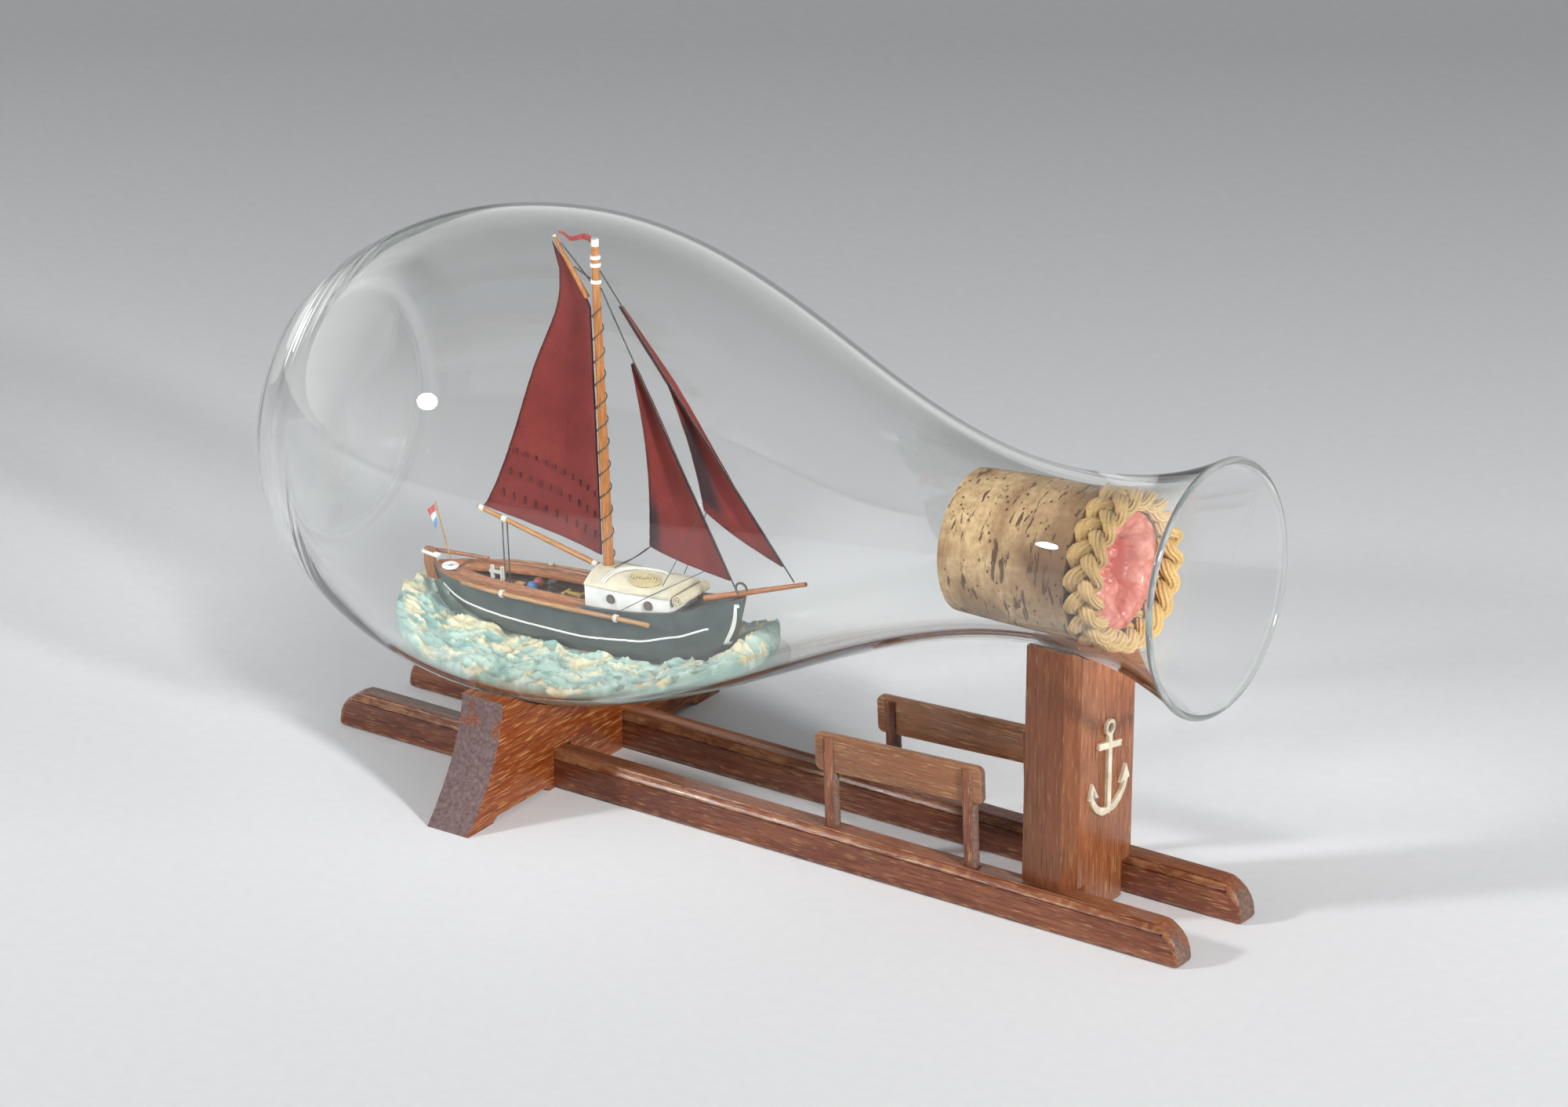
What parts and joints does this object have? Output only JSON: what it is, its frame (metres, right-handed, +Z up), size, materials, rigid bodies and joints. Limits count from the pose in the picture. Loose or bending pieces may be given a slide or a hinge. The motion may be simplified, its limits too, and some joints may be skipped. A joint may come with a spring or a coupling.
{
  "type": "ship in a bottle",
  "caption": "Model gaff-rigged sailing barge on a putty sea in a corked, flared glass carafe that lies on a railed wooden stand with bare name boards and an anchor badge.",
  "frame": {"origin": "on the table, under the middle of the whole object's box", "axes": "+X along the rails towards the bottle's mouth, +Z up, near side of the picture at -Y"},
  "size_m": [0.2778, 0.13, 0.1505],
  "materials": {
    "clear_glass": "clear, glossy, blown",
    "cork": "natural cork, matt, pitted",
    "straw_rope": "plaited cord",
    "coral_wax": "sealing wax, satin",
    "rail_wood": "red-brown varnish",
    "cradle_wood": "red-brown stain",
    "post_wood": "red-brown varnish",
    "board_wood": "brown varnish",
    "pale_brass": "dull",
    "sea_putty": "painted putty",
    "green_black_paint": "satin paint on wood",
    "dark_deck_wood": "dark stain",
    "deck_wood": "orange-brown varnish",
    "spar_wood": "orange varnish",
    "white_thread": "thread",
    "straw_thread": "coiled thread",
    "dark_thread": "thread",
    "white_paint": "satin paint on wood",
    "cream_paint": "satin paint on wood",
    "cream_cloth": "rolled cloth",
    "grey_paint": "satin paint on wood",
    "sail_cloth": "tanned cotton",
    "flag_red": "painted cotton",
    "dark_wire": "black wire",
    "float_paint": "gloss paint",
    "yellow_paint": "gloss paint"
  },
  "bodies": {
    "stand": {"near_rail": "rail_wood", "far_rail": "rail_wood", "rear_cradle": "cradle_wood", "front_post": "post_wood", "near_name_board": "board_wood", "far_name_board": "board_wood", "near_board_pegs": "rail_wood", "far_board_pegs": "rail_wood", "anchor_badge": "pale_brass"},
    "carafe": {"bottle": "clear_glass", "sea": "sea_putty", "hull": "green_black_paint", "deck": "dark_deck_wood", "coaming": "deck_wood", "foredeck": "green_black_paint", "near_rubbing_strake": "spar_wood", "far_rubbing_strake": "spar_wood", "strake_ties": "white_thread", "cabin": "white_paint", "cabin_roof": "cream_paint", "portholes": "grey_paint", "roof_mat": "straw_thread", "bow_roll": "cream_cloth", "mast": "spar_wood", "mast_bands": "white_thread", "mast_lacing": "dark_thread", "boom": "spar_wood", "gaff": "spar_wood", "bowsprit": "spar_wood", "mainsail": "sail_cloth", "staysail": "sail_cloth", "jib": "sail_cloth", "pennant": "flag_red", "flagstaff": "spar_wood", "ensign": "flag_red", "rudder": "deck_wood", "tiller": "deck_wood", "forestay": "dark_thread", "jib_stay": "dark_thread", "peak_halyards": "dark_thread", "mainsheet": "dark_thread", "staysail_sheets": "dark_thread", "jib_sheets": "dark_thread", "foresheet": "dark_thread", "bow_anchor": "dark_wire", "life_ring": "white_paint", "mooring_bitts": "white_paint", "deck_block": "straw_thread", "deck_floats": "float_paint", "deck_winch": "grey_paint", "deck_anchor": "yellow_paint"},
    "stopper": {"cork": "cork", "rope_ring": "straw_rope", "sealing_wax": "coral_wax"}
  },
  "joints": [
    {"name": "bottle_lift", "type": "slide", "parent": "stand", "child": "carafe", "axis": [0, 0, 1], "range_m": [0, 0.08]},
    {"name": "cork_pull", "type": "slide", "parent": "carafe", "child": "stopper", "axis": [0.9986, 0, 0.0523], "range_m": [0, 0.075]}
  ]
}
